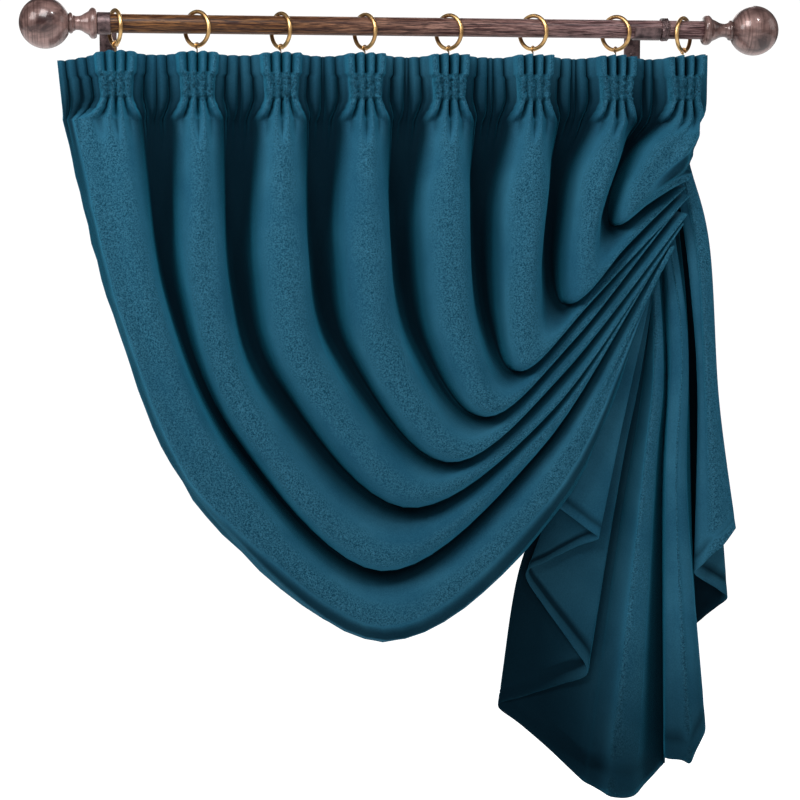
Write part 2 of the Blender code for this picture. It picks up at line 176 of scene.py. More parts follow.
class Finish:  # a material in the making
    def __init__(self, name):
        self.material = bpy.data.materials.new(name)
        self.material.use_nodes = True
        self.tree = self.material.node_tree
        self.shader = self.tree.nodes["Principled BSDF"]

    def add(self, kind, settings=None, values=(), output=0):
        node = self.tree.nodes.new(kind)
        for key, setting in (settings or {}).items():
            setattr(node, key, setting)
        pairs = values.items() if isinstance(values, dict) else enumerate(values)
        for key, value in pairs:
            self.join(value, node.inputs[key])
        return Wire(self, node.outputs[output])

    def join(self, value, socket):
        if isinstance(value, Wire):
            self.tree.links.new(value.socket, socket)
        else:
            socket.default_value = value

    def feed(self, **sockets):
        for name, value in sockets.items():
            self.join(value, self.shader.inputs[name.replace("_", " ")])

    def place(self, stretch=(1, 1, 1)):
        where = self.add("ShaderNodeTexCoord", output="Object")
        return self.add("ShaderNodeMapping", {}, {"Vector": where, "Scale": stretch})

    def noise(self, where, scale, detail=2.0, rough=0.5, warp=0.0):
        return self.add("ShaderNodeTexNoise", {}, {
            "Vector": where, "Scale": scale, "Detail": detail, "Roughness": rough, "Distortion": warp})

    def ramp(self, value, low, high):
        values = {"Value": value, "From Min": low, "From Max": high}
        return self.add("ShaderNodeMapRange", {"clamp": True}, values)

    def part(self, value, low, high, share):
        return self.ramp(value, low, high) * share

    def blend(self, share, first, second):
        return self.add("ShaderNodeMix", {"data_type": "RGBA"}, {0: share, 6: first, 7: second}, output=2)

    def bump(self, height, strength, distance):
        return self.add("ShaderNodeBump", {}, {"Height": height, "Strength": strength, "Distance": distance})


def rgb(red, green, blue):
    return (red, green, blue, 1.0)


def paleFloor():
    look = studio["floor"]
    finish = Finish("pale_floor")
    dark, light = (rgb(tone, tone, tone) for tone in look["tones"])
    grain = finish.noise(finish.place(), look["grain"], 3)
    finish.feed(Base_Color=finish.blend(grain, dark, light), Roughness=0.7,
                Emission_Color=rgb(1, 1, 1), Emission_Strength=look["glow"])
    return finish.material


velvetLook = {
    # shade: the colour that the painted shade pulls towards
    "shade": rgb(0.0003, 0.0034, 0.0066),
    "deep": rgb(0.004, 0.030, 0.054),
    "body": rgb(0.009, 0.056, 0.097),
    "bloom": rgb(0.020, 0.094, 0.148),
    "tips": rgb(0.026, 0.108, 0.166),
    "sheen": rgb(0.03, 0.37, 0.60),
    # noises: tufts in a metre, detail, roughness, distortion
    "pile": (1100, 2.0, 0.6),
    "clumps": (460, 3.0, 0.65, 0.6),
    "puckers": (210, 3.0, 0.6, 1.2),
    "nap": (10, 2.0, 0.5),
    "band": 0.16,  # how far down from the ridges the pile is ruffled
    "uneven": 0.35,  # how much the nap moves the edge of that band
    "ruffled": 0.8,  # how much more of the speckle the band has
    # ramps, from and to, on the clumps, the nap and the smocking
    "speckle": (0.38, 0.62),
    "brushed": (0.35, 0.7),
    "smocked": (0.1, 0.6),
    # painted shade, where it reads darker, by this share: in the smocking's tucks, in the valleys, and far
    # below the rod
    "tucks": (-0.5, -0.38, 0.6),
    "valleys": (0.22, 0.82, 0.95),
    # painted shade lower down, where less light falls: metres below the rod where it starts and where it is
    # full, and its share
    "low": (0.9, 1.15, 0.8),
    "relief": {"tufts": 0.3, "clumps": 0.7, "band": 0.7, "puckers": 1.6, "strength": 0.95, "depth": 0.0026},
    "rough": (0.2, 0.72),  # spread and least
}


def velvet():
    look, relief = velvetLook, velvetLook["relief"]
    finish = Finish("velvet")
    where = finish.place()
    tufts, clumps, nap, puckers = (
        finish.noise(where, *look[name]) for name in ("pile", "clumps", "nap", "puckers"))
    # hollow: the painted shade set where the cloth is made, in valleys, gaps and creases; near zero on the
    # ridges, below zero in the smocking
    hollow = finish.add("ShaderNodeAttribute", {"attribute_name": "hollow"}, output="Fac")
    # height, for the painted shade lower down
    height = finish.add("ShaderNodeSeparateXYZ", {}, (where,), output="Z")
    ruffled = finish.ramp(look["band"] - hollow + (nap - 0.5) * look["uneven"], 0.0, look["band"])
    smocked = finish.ramp(0 - hollow, *look["smocked"])
    smooth = finish.blend(finish.ramp(nap, *look["brushed"]), look["body"], look["bloom"])
    rough = finish.blend(finish.ramp(clumps, *look["speckle"]), look["deep"], look["tips"])
    colour = finish.blend(ruffled * look["ruffled"] + (1 - look["ruffled"]), smooth, rough)
    # painted shade: the smocking's tucks, the valleys and the parts far below the rod are darkened towards
    # the shade colour
    for share in (smocked * finish.part(0 - puckers, *look["tucks"]), finish.part(hollow, *look["valleys"]),
                  finish.part(0 - height, *look["low"])):
        colour = finish.blend(share, colour, look["shade"])
    raised = (tufts * relief["tufts"] + clumps * relief["clumps"]) * (
        ruffled * relief["band"] + (1 - relief["band"])) + smocked * puckers * relief["puckers"]
    spread, least = look["rough"]
    finish.feed(Base_Color=colour, Roughness=finish.ramp(tufts, 0.0, 1.0) * spread + least,
                Normal=finish.bump(raised, relief["strength"], relief["depth"]))
    finish.feed(Sheen_Weight=0.31, Sheen_Roughness=0.45, Sheen_Tint=look["sheen"], Specular_IOR_Level=0.02)
    return finish.material


stains = {
    # dark and light of each; the pole's go from the first at its left end to the second at its right end,
    # lighter and pinker there, partly the wood's own tone and partly painted highlight
    "walnutDark": (rgb(0.026, 0.008, 0.004), rgb(0.040, 0.015, 0.017)),
    "walnutLight": (rgb(0.180, 0.080, 0.026), rgb(0.320, 0.195, 0.190)),
    "walnutPores": rgb(0.006, 0.002, 0.002),
    "bronze": (rgb(0.022, 0.009, 0.009), rgb(0.240, 0.145, 0.130)),
    "bronzeRings": rgb(0.034, 0.015, 0.012),
    "bracket": (rgb(0.030, 0.017, 0.018), rgb(0.135, 0.085, 0.085)),
    "brass": (rgb(0.40, 0.23, 0.095), rgb(0.62, 0.40, 0.17)),
}


def walnut():
    finish = Finish("walnut")
    grain = finish.noise(finish.place((7, 130, 130)), 2.6, 6.0, 0.68, 0.7)
    pores = finish.noise(finish.place((26, 520, 520)), 2.0, 3.0, 0.6)
    length = finish.add("ShaderNodeSeparateXYZ", {}, (finish.place(),), output="X")
    # the grain gets lighter and pinker towards the right end: partly the wood's own tone, partly painted
    # highlight
    along = finish.ramp(length, 0.25, 0.75)
    dark, light = finish.blend(along, *stains["walnutDark"]), finish.blend(along, *stains["walnutLight"])
    colour = finish.blend(finish.ramp(grain, 0.42, 0.66), dark, light)
    colour = finish.blend(finish.part(pores, 0.5, 0.62, 0.85), colour, stains["walnutPores"])
    finish.feed(Base_Color=colour, Roughness=finish.part(grain, 0.0, 1.0, 0.2) + 0.38,
                Normal=finish.bump(grain * 0.6 + pores * 0.4, 0.4, 0.0008))
    finish.feed(Coat_Weight=0.1, Coat_Roughness=0.25, Specular_IOR_Level=0.12)
    return finish.material


def bronze():
    finish = Finish("bronze_stain")
    rings = finish.noise(finish.place((260, 8, 8)), 1.6, 4.0, 0.6)
    patches = finish.noise(finish.place((9, 22, 22)), 1.5, 4.0, 0.6, 0.4)
    colour = finish.blend(finish.ramp(patches, 0.36, 0.62), *stains["bronze"])
    colour = finish.blend(finish.part(rings, 0.46, 0.66, 0.7), colour, stains["bronzeRings"])
    finish.feed(Base_Color=colour, Roughness=finish.part(patches, 0.2, 0.8, 0.18) + 0.26,
                Metallic=finish.part(patches, 0.3, 0.7, 0.2) + 0.15, Normal=finish.bump(rings, 0.18, 0.0006))
    finish.feed(Coat_Weight=0.4, Coat_Roughness=0.1, Specular_IOR_Level=0.3)
    return finish.material


def bracketMetal():
    finish = Finish("bracket_paint")
    patches = finish.noise(finish.place(), 90, 4.0, 0.65)
    pits = finish.noise(finish.place(), 420, 3.0, 0.6)
    colour = finish.blend(finish.ramp(patches, 0.38, 0.68), *stains["bracket"])
    finish.feed(Base_Color=colour, Roughness=finish.part(patches, 0.2, 0.8, 0.25) + 0.3,
                Metallic=0.55, Normal=finish.bump(pits * 0.5 + patches * 0.5, 0.3, 0.0008))
    return finish.material


def brass():
    finish = Finish("brass")
    rubbed = finish.noise(finish.place(), 60, 2.0, 0.5)
    colour = finish.blend(finish.ramp(rubbed, 0.36, 0.66), *stains["brass"])
    finish.feed(Base_Color=colour, Roughness=finish.part(rubbed, 0.2, 0.8, 0.1) + 0.3, Metallic=1.0,
                Normal=finish.bump(rubbed, 0.05, 0.0002))
    return finish.material


makeStudio()
finishes = {
    "velvet": velvet(), "walnut": walnut(), "bronze": bronze(), "bracket": bracketMetal(), "brass": brass(),
}
print("materials made")


def dress(piece, finish, *nodes):
    piece.data.materials.append(finishes[finish])
    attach(piece, "root")
    if nodes:
        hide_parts(*nodes)
    return piece


def through(points, t):  # the smooth curve through the points, one unit of t for each
    last = len(points) - 1
    i = max(0, min(int(t), last - 1))
    f = t - i
    b, c = points[i], points[i + 1]
    a = points[i - 1] if i > 0 else b + (b - c)
    d = points[i + 2] if i + 2 <= last else c + (c - b)
    bend = (c - a) * f + (a * 2 - b * 5 + c * 4 - d) * f * f + (b * 3 - a - c * 3 + d) * f * f * f
    return b + bend * 0.5


def ease(f):
    f = max(0.0, min(1.0, f))
    return f * f * (3 - 2 * f)


def sampled(table, key, value, wanted):  # reads a short table between its rows
    places = [row[key] for row in table]
    i = max(1, min(bisect.bisect(places, value), len(table) - 1))
    low, high = table[i - 1], table[i]
    share = ease((value - low[key]) / (high[key] - low[key]))
    return low[wanted] + (high[wanted] - low[wanted]) * share


def pathLength(points):
    return sum((second - first).length for first, second in zip(points, points[1:]))


def sheetMesh(name, rows, hollows, thickness):  # a grid moved onto rows of points
    tall, wide = len(rows), len(rows[0])
    shape = bmesh.new()
    bmesh.ops.create_grid(shape, x_segments=wide - 1, y_segments=tall - 1, size=1)
    # hollow: each corner's painted shade, for the velvet
    layer = shape.verts.layers.float.new("hollow")
    for vert in shape.verts:
        column = round((vert.co.x + 1) / 2 * (wide - 1))
        row = round((1 - vert.co.y) / 2 * (tall - 1))
        vert.co = rows[row][column] * mm
        vert[layer] = hollows[row][column]
    area = sum(face.calc_area() for face in shape.faces)
    across = max(pathLength(row) for row in rows) * mm
    down = max(pathLength(column) for column in zip(*rows)) * mm
    print(name, "is", round(area, 3), "square metres,", round(across, 3), "across,", round(down, 3), "down")
    piece = finishMesh(shape, name)
    wall = piece.modifiers.new("cloth", "SOLIDIFY")
    wall.thickness = thickness * mm
    wall.offset = 0
    return piece


heading = {
    "back": -92.3,  # the cloth's middle at the back of the pleats
    "between": -45.0,
    "pleat": -40.0,
    "left": (-75.0, -55.0),
    "lean": 8.0,  # how far the left edge leans in on its way down
    "right": (915.0, -38.0),
    "wobble": (1.2, 0.05),  # of the top edge: height, waves in a millimetre
    "fingerPitch": 17.6,
    "fingerRound": 0.18,
    "slotWidth": 5.0,
    "outerSlots": 0.8,  # their depth against the middle one
    "corner": (5.0, 7.0),  # where the pleat's side starts to go back, and over what width
    "ripplePitch": 13.2,
    "rippleStart": 5.0,
    "rippleSharp": 0.8,
    "steps": 400,
    "measured": (26, 11),  # depth of pleats and ripples when the cloth is shared out
    "rows": 36,
    "shape": (
        # drop: share of the way down; spread: width of the pleat; depth: how far it stands out; slot: depth
        # of the gaps between the fingers; ripple: depth of the gathers between pleats; crinkle: smocking;
        # fold: share of the fold below that has formed
        {"drop": 0.00, "spread": 0.88, "depth": 27, "slot": 21, "ripple": 9, "crinkle": 0.0, "fold": 0.00},
        {"drop": 0.29, "spread": 0.84, "depth": 27, "slot": 21, "ripple": 10, "crinkle": 0.0, "fold": 0.00},
        {"drop": 0.32, "spread": 0.72, "depth": 24, "slot": 2, "ripple": 11, "crinkle": 3.4, "fold": 0.00},
        {"drop": 0.64, "spread": 0.68, "depth": 23, "slot": 2, "ripple": 12, "crinkle": 3.4, "fold": 0.00},
        {"drop": 0.68, "spread": 0.70, "depth": 25, "slot": 22, "ripple": 12, "crinkle": 0.6, "fold": 0.01},
        {"drop": 0.80, "spread": 0.80, "depth": 27, "slot": 24, "ripple": 12, "crinkle": 0.2, "fold": 0.10},
        {"drop": 0.89, "spread": 0.90, "depth": 28, "slot": 23, "ripple": 11, "crinkle": 0.0, "fold": 0.34},
        {"drop": 0.95, "spread": 0.96, "depth": 28, "slot": 19, "ripple": 10, "crinkle": 0.0, "fold": 0.66},
        {"drop": 1.00, "spread": 1.00, "depth": 28, "slot": 14, "ripple": 9, "crinkle": 0.0, "fold": 1.00},
    ),
    "fade": 46.0,  # how far below the heading the finger gaps and ripples die out
    "dip": (1.2, 1.0),  # how much lower the top edge is in the finger gaps and between the gathers
    "smocking": 0.34,  # tucks in a millimetre
    "tuckHeight": (1.3, 102),  # how much closer they lie down the heading, and its height
    "tuckDepth": 1.5,
    "fullCrinkle": 3.4,
    "darkSlot": 20,  # a gap this deep gets the full painted shade at its bottom
    "slotShade": 0.7,  # and this much painted shade where it dies out
    "betweenShade": (0.32, 0.46, 0.5),  # painted shade between pleats: at the top, more lower down, more in the ripples
    "opening": 1.35,  # how far the fingers keep to the middle of the fold that they open into
}
swag = {
    "thickness": 1.6,
    "columns": 68,  # from one pleat to the next
    "rows": 50,
    "crowding": 1.15,  # rows lie closer near the heading
    "flat": (2.40, 1.83),
    "cut": 1.36,  # square metres of the shaped cut, with its turnings
    "stations": ("top", "fall", "turn", "belly", "rise", "gather"),
    "lines": (
        # (across, height) of each fold's ridge at each station
        {"line": "edge", "top": (-68, -142), "fall": (5, -440), "turn": (130, -725),
         "belly": (410, -935), "rise": (680, -735), "gather": (860, -356)},
        {"line": "fold1", "top": (10, -142), "fall": (50, -407), "turn": (170, -680),
         "belly": (400, -893), "rise": (650, -705), "gather": (866, -332)},
        {"line": "fold2", "top": (131, -142), "fall": (137, -393), "turn": (198, -592),
         "belly": (403, -798), "rise": (645, -625), "gather": (866, -313)},
        {"line": "fold3", "top": (256, -142), "fall": (256, -350), "turn": (287, -510),
         "belly": (449, -700), "rise": (661, -580), "gather": (867, -297)},
        {"line": "fold4", "top": (383, -142), "fall": (380, -320), "turn": (404, -488),
         "belly": (520, -642), "rise": (684, -515), "gather": (868, -282)},
        {"line": "fold5", "top": (511, -142), "fall": (503, -290), "turn": (520, -473),
         "belly": (578, -570), "rise": (700, -465), "gather": (869, -268)},
        {"line": "fold6", "top": (641, -142), "fall": (625, -275), "turn": (617, -426),
         "belly": (630, -502), "rise": (722, -412), "gather": (870, -254)},
        {"line": "fold7", "top": (770, -142), "fall": (740, -215), "turn": (714, -320),
         "belly": (718, -387), "rise": (786, -318), "gather": (871, -241)},
        {"line": "fold8", "top": (874, -142), "fall": (835, -177), "turn": (797, -223),
         "belly": (785, -265), "rise": (823, -250), "gather": (872, -228)},
        {"line": "return", "top": (903, -142), "fall": (901, -160), "turn": (892, -180),
         "belly": (884, -196), "rise": (880, -206), "gather": (878, -214)},
    ),
    "form": {
        # distance of folds and edges from the wall; depth of the valleys; whether the fold before (-1) or
        # the fold after (1) overhangs them; how far the section has its full shape
        "fold": {"top": 122, "fall": 150, "turn": 158, "belly": 165, "rise": 142, "gather": 128},
        "edge": {"top": 94, "fall": 100, "turn": 106, "belly": 118, "rise": 122, "gather": 110},
        "valley": {"top": 36, "fall": 88, "turn": 84, "belly": 62, "rise": 42, "gather": 18},
        "side": {"top": -1.0, "fall": -1.0, "turn": -0.2, "belly": 1.0, "rise": 1.0, "gather": 0.3},
        "sharp": {"top": 0.6, "fall": 1.0, "turn": 1.0, "belly": 1.0, "rise": 0.9, "gather": 0.2},
    },
    "falling": (
        # where the folds hang, the first overhanging: share of the way across, share of the depth
        (0.0, 0.0), (0.115, 0.03), (0.215, 0.12), (0.29, 0.32), (0.31, 0.62), (0.33, 0.86), (0.40, 0.98),
        (0.49, 1.0), (0.57, 0.95), (0.635, 0.78), (0.685, 0.46), (0.75, 0.19), (0.865, 0.05), (1.0, 0.0),
    ),
    "crossing": (
        # where they run across, the second overhanging
        (0.0, 0.0), (0.10, 0.025), (0.20, 0.09), (0.30, 0.19), (0.40, 0.33), (0.50, 0.50), (0.59, 0.69),
        (0.66, 0.87), (0.71, 1.0), (0.73, 0.88), (0.735, 0.60), (0.77, 0.32), (0.86, 0.10), (1.0, 0.0),
    ),
    "hem": (
        # from the edge to the first ridge: share of the way across, share of the rise
        (0.0, 0.0), (0.07, 0.28), (0.15, 0.60), (0.23, 0.86), (0.31, 0.97), (0.42, 0.95), (0.58, 0.88),
        (0.78, 0.93), (1.0, 1.0),
    ),
    "tips": (-16, -9, -7, 3, 8, -4, 9, 1, 6, 0),  # how far each line's end stands out past the gathers
    "slim": (1.8, 0.9),  # how much wider the valleys are just under the heading, and down to where
    "ruffle": 4.0,  # how far the leading edge waves in and out
    "ruffled": {"way": (1, 0, 0.6), "waves": 0.05, "band": 0.3, "start": 0.4},
    "hemShade": {
        # painted shade behind the edge: how dark, where that starts and how it fades, on the side and more
        # along the bottom, which it turns into at the one place and half leaves at the other
        "dark": 0.72, "starts": (0.13, 0.30), "fades": (0.1, 0.35), "turns": 1.8, "leaves": 3.5,
    },
    "darkValley": 40,  # a valley this deep gets the full painted shade at its bottom
    "hollow": (16, 18),  # how far the valleys go back between the tips, across and into the depth
    "wrinkles": ((6.0, 1.3, 3.2), (17.0, 3.4, 1.1)),  # across, along, depth
    "settle": (0.6, 0.75),  # where the wrinkles start, and what the gathers take off them
}


def headingOutline(reach):  # half a pleat and half the gap beyond it: distance out, bulk, slot, ripple, pull
    pitch = heading["fingerPitch"]
    side = 2 * pitch
    inside, width = heading["corner"]
    outline = []
    for step in range(heading["steps"] + 1):
        out = reach * step / heading["steps"]
        bulk = 1 - ease((out - side + inside) / width)
        nearest = min(abs(out), abs(out - pitch))
        share = 1.0 if abs(out) < pitch / 2 else heading["outerSlots"]
        slot = share * math.exp(-(nearest / heading["slotWidth"]) ** 2)
        tubes = 1 - heading["fingerRound"] * (1 - math.cos(2 * math.pi * (out / pitch - 0.5))) / 2
        beyond = out - side
        ripple = 0.0
        if beyond > 0:
            waves = abs(math.sin(math.pi * beyond / heading["ripplePitch"]))
            ripple = ease(beyond / heading["rippleStart"]) * (1 - waves ** heading["rippleSharp"])
        pull = 1 - ease((out - side) / max(reach - side, 1))
        outline.append((out, bulk * tubes, slot * bulk, ripple, pull))
    return outline


def evenly(outline, count):  # picks points at even steps of cloth along the outline
    pleatDepth, rippleDepth = heading["measured"]
    length = [0.0]
    for pair in zip(outline, outline[1:]):
        forward = [pleatDepth * (point[1] - point[2]) - rippleDepth * point[3] for point in pair]
        length.append(length[-1] + math.hypot(pair[1][0] - pair[0][0], forward[1] - forward[0]))
    picked = []
    for step in range(count + 1):
        wanted = length[-1] * step / count
        i = max(1, min(bisect.bisect_left(length, wanted), len(length) - 1))
        share = (wanted - length[i - 1]) / max(length[i] - length[i - 1], 1e-9)
        low, high = outline[i - 1], outline[i]
        picked.append(tuple(a + (b - a) * share for a, b in zip(low, high)))
    return picked


def swagColumns():  # every column: the line it starts from, its phase, and its place in the heading
    half = swag["columns"] // 2
    last = len(swag["lines"]) - 2
    columns = []
    for line in range(last + 1):
        if line > 0:  # the right half of the pleat before
            centre = pleats[line - 1]["across"]
            edge = (pleats[line]["across"] - centre) / 2 if line < last else heading["right"][0] - centre
            places = evenly(headingOutline(edge), half)
            for j in range(1, half + 1):
                phase = 0.5 * (j / half) ** heading["opening"]
                columns.append((line, phase, centre + places[j][0], places[j]))
        if line < last:  # the left half of the pleat after it
            centre = pleats[line]["across"]
            edge = (centre - pleats[line - 1]["across"]) / 2 if line > 0 else centre - heading["left"][0]
            places = evenly(headingOutline(edge), half)
            for j in reversed(range(half if line > 0 else half + 1)):
                phase = 1 - 0.5 * (j / half) ** heading["opening"]
                columns.append((line, phase, centre - places[j][0], places[j]))
    return columns


def formAt(t, parts):
    stations = swag["stations"]
    table = [Vector([swag["form"][part][s] for part in parts]) for s in stations]
    return through(table, t)


def lineCurves():
    curves = []
    for row in swag["lines"]:
        depths = swag["form"]["fold" if row["line"].startswith("fold") else "edge"]
        curves.append([Vector((row[s][0], -depths[s], row[s][1])) for s in swag["stations"]])
    return curves


def alongTable(table, share):
    return through([Vector(point) for point in table], share * (len(table) - 1))


def foldSection(phase, side, sharp):  # share across and share of depth, from one ridge to the next
    soft = Vector((phase, (1 - math.cos(2 * math.pi * phase)) / 2))
    full = alongTable(swag["falling"], phase).lerp(alongTable(swag["crossing"], phase), (side + 1) / 2)
    return soft.lerp(full, sharp)


def foldPoint(line, phase, t, curves, form):  # a point of the cloth, and its painted shade, from how deep in a valley it lies and, at the two edges, how far behind the edge
    near, far = through(curves[line], t), through(curves[line + 1], t)
    end = gathered(t)
    if line == 0 or line == len(curves) - 2:
        share = 2 * phase - 1 if line == 0 else 1 - 2 * phase
        edge, fold = (near, far) if line == 0 else (far, near)
        across, rise = alongTable(swag["hem"], share)
        point = edge.lerp(fold, across)
        point.y = edge.y + (fold.y - edge.y) * rise
        point.x += swag["tips"][line] * end
        ruffled, hem = swag["ruffled"], swag["hemShade"]
        free = 1 - ease(across / ruffled["band"])
        waves = noise.noise(point * ruffled["waves"])
        point += Vector(ruffled["way"]) * swag["ruffle"] * waves * free * ease(t / ruffled["start"])
        # painted shade on the strip turned back behind the edge, and on the bottom's underside
        turned = ease(t - hem["turns"]) * (1 - 0.5 * ease(t - hem["leaves"]))
        (start, bottomStart), (fade, bottomFade) = hem["starts"], hem["fades"]
        beyond = (across - start - bottomStart * turned) / (fade + bottomFade * turned)
        return point, hem["dark"] * (1 - ease(beyond))
    valley, side, sharp = form
    across, deep = foldSection(phase, max(-1, min(1, side)), max(0, min(1, sharp)))
    wider, until = swag["slim"]
    deep = 1 - max(0, 1 - deep) ** (1 + wider * (1 - ease(t / until)))
    point = near.lerp(far, across)
    point.y += valley * deep
    ridge = swag["tips"][line] * (1 - phase) + swag["tips"][line + 1] * phase
    point.x += (ridge - swag["hollow"][0] * deep) * end
    point.y += swag["hollow"][1] * deep * end
    # painted shade in the valley, fuller in deep valleys and at the gathers
    return point, deep * min(1, valley / swag["darkValley"] + end)


def gathered(t):  # 0 up to the last station but one, 1 at the gathers
    return ease(t - (len(swag["stations"]) - 2))


def wrinkle(line, phase, t, seed):
    total = 0.0
    for across, along, depth in swag["wrinkles"]:
        total += depth * noise.noise(Vector(((line + phase) * across, t * along, seed)))
    return total


def edgeTop(line, phase, out):  # height of the top edge
    last = len(swag["lines"]) - 2
    height, waves = heading["wobble"]
    wobble = height * noise.noise(Vector((out * waves, line, 7)))
    if line == 0:
        return heading["left"][1] + (heading["pleat"] - heading["left"][1]) * ease(2 * phase - 1) + wobble
    if line == last:
        return heading["pleat"] + (heading["right"][1] - heading["pleat"]) * ease(2 * phase) + wobble
    sag = math.sin(math.pi * phase) ** 2
    return heading["pleat"] + (heading["between"] - heading["pleat"]) * sag + wobble


def headingRow(drop, columns, tops):
    look = {key: sampled(heading["shape"], "drop", drop, key) for key in heading["shape"][0]}
    stretch, tall = heading["tuckHeight"]
    upper, lower, rippled = heading["betweenShade"]
    row, hollow = [], []
    for (line, phase, across, place), (top, deep) in zip(columns, tops):
        out, bulk, slot, ripple, pull = place
        centre = across + out if phase > 0.5 or line == 0 else across - out
        squeezed = centre + (across - centre) * (1 - (1 - look["spread"]) * pull)
        if line == 0:
            squeezed += heading["lean"] * drop * (centre - across) / (centre - heading["left"][0])
        point = Vector((squeezed, heading["back"] - look["depth"] * bulk, 0)).lerp(top, look["fold"])
        point.y += look["slot"] * slot + look["ripple"] * ripple
        spot = Vector((squeezed, stretch * drop * tall, line)) * heading["smocking"]
        point.y += look["crinkle"] * bulk * noise.noise(spot) * heading["tuckDepth"]
        high = edgeTop(line, phase, across) - heading["dip"][0] * slot - heading["dip"][1] * ripple
        point.z = high + (top.z - high) * drop
        point.x += look["crinkle"] * bulk * noise.noise(spot + Vector((0, 0, 9)))
        row.append(point)
        # painted shade in the finger gaps and between the pleats; the smocking gets a value below zero, for
        # the velvet's shaded tucks
        shade = max(slot * min(1, look["slot"] / heading["darkSlot"]),
                    (1 - bulk) * (upper + lower * drop + rippled * ripple))
        smocked = bulk * look["crinkle"] / heading["fullCrinkle"]
        hollow.append((shade + (deep - shade) * look["fold"]) * (1 - smocked) - smocked)
    return row, hollow


def swagRow(t, columns, tops, curves, parts):
    form = formAt(t, parts)
    last = heading["shape"][-1]
    start, taken = swag["settle"]
    row, hollow = [], []
    for (line, phase, _, place), (top, _) in zip(columns, tops):
        _, _, slot, ripple, _ = place
        point, deep = foldPoint(line, phase, t, curves, form)
        fade = 1 - ease((top - point).length / heading["fade"])
        point.y += (last["slot"] * slot + last["ripple"] * ripple) * fade
        settle = ease(t / start) * (1 - taken * gathered(t))
        point.y += wrinkle(line, phase, t, 1) * settle
        row.append(point)
        # the finger gaps' painted shade dies out below the heading
        hollow.append(max(deep, heading["slotShade"] * slot * fade))
    return row, hollow


def makeSwag():
    curves = lineCurves()
    columns = swagColumns()
    parts = ("valley", "side", "sharp")
    start = formAt(0.0, parts)
    tops = [foldPoint(line, phase, 0.0, curves, start) for line, phase, _, _ in columns]
    made = [headingRow(r / heading["rows"], columns, tops) for r in range(heading["rows"])]
    for r in range(swag["rows"] + 1):
        t = (len(swag["stations"]) - 1) * (r / swag["rows"]) ** swag["crowding"]
        made.append(swagRow(t, columns, tops, curves, parts))
    rows, hollows = zip(*made)
    return sheetMesh("swag_velvet", rows, hollows, swag["thickness"])


swagPiece = dress(makeSwag(), "velvet", "swag_panel")
print("swag hung")

tail = {
    "thickness": 1.6,
    "perSpan": 6,
    "rows": 116,
    "rounding": (0.17, 0.3),  # how far each crease is rounded at the gathers, and at the hem
    "roundedFrom": (0.6, 0.4),  # share of the way down, and over what length
    "hemLine": {"place": 0.972, "width": 0.008, "depth": 1.6, "shade": 0.35},  # the stitches: a groove, with painted shade in it
    "hemWaves": {"height": 7.0, "across": 0.45, "from": 0.75},
    "gap": 3.2,
    "sharpTurn": 10.0,
    "flat": (1.50, 0.86),
    "cut": 0.52,
    "drops": ("top", "shoulder", "middle", "hem"),
    "creases": (
        # how much painted shade lies in the crease; (across, height, distance from the wall) at each drop
        {"shade": 0.35, "top": (826, -356, 90), "shoulder": (792, -445, 94), "middle": (753, -538, 97),
         "hem": (667, -724, 100)},
        {"shade": 0.3, "top": (835, -371, 93), "shoulder": (815, -470, 98), "middle": (791, -577, 102),
         "hem": (752, -785, 104)},
        {"shade": 0.62, "top": (760, -500, 86), "shoulder": (722, -600, 87), "middle": (688, -695, 88),
         "hem": (629, -838, 90)},
        {"shade": 0.4, "top": (838, -400, 82), "shoulder": (817, -540, 83), "middle": (790, -681, 84),
         "hem": (743, -1008, 84)},
        {"shade": 0.85, "top": (755, -520, 74), "shoulder": (690, -690, 73), "middle": (624, -838, 72),
         "hem": (588, -1052, 68)},
        {"shade": 0.62, "top": (842, -392, 68), "shoulder": (818, -590, 66), "middle": (786, -795, 64),
         "hem": (725, -1170, 84)},
        {"shade": -0.09, "top": (834, -352, 84), "shoulder": (834, -530, 102), "middle": (816, -695, 112),
         "hem": (765, -1197, 114)},
        {"shade": 0.12, "top": (841, -340, 84), "shoulder": (849, -530, 98), "middle": (838, -696, 98),
         "hem": (812, -1198, 102)},
        {"shade": 1, "top": (847, -326, 74), "shoulder": (864, -530, 66), "middle": (860, -717, 62),
         "hem": (868, -1159, 62)},
        {"shade": 0.3, "top": (851, -310, 80), "shoulder": (859, -500, 104), "middle": (853, -711, 108),
         "hem": (858, -1138, 106)},
        {"shade": -0.09, "top": (857, -296, 82), "shoulder": (874, -490, 116), "middle": (867, -726, 118),
         "hem": (895, -1147, 118)},
        {"shade": 0.3, "top": (863, -280, 82), "shoulder": (885, -480, 106), "middle": (887, -727, 108),
         "hem": (923, -1092, 108)},
        {"shade": 1, "top": (872, -270, 76), "shoulder": (893, -430, 66), "middle": (902, -638, 62),
         "hem": (911, -941, 62)},
        {"shade": 0.5, "top": (878, -250, 80), "shoulder": (925, -400, 78), "middle": (936, -574, 78),
         "hem": (966, -890, 80)},
        {"shade": 0.25, "top": (872, -236, 88), "shoulder": (892, -390, 93), "middle": (906, -572, 95),
         "hem": (902, -846, 95)},
        {"shade": -0.09, "top": (874.8, -224, 104.8), "shoulder": (900, -345, 112),
         "middle": (911, -507, 116), "hem": (931, -811, 116)},
        {"shade": 0.05, "top": (884.8, -204, 104.8), "shoulder": (918, -330, 106), "middle": (936, -571, 108),
         "hem": (966, -771, 110)},
    ),
    "wrinkles": ((0.9, 2.0, 1.6), (2.6, 5.0, 0.6)),  # across, along, depth
    "wrinkled": (0.3, 0.2),  # how many to a span, and where they have formed
}


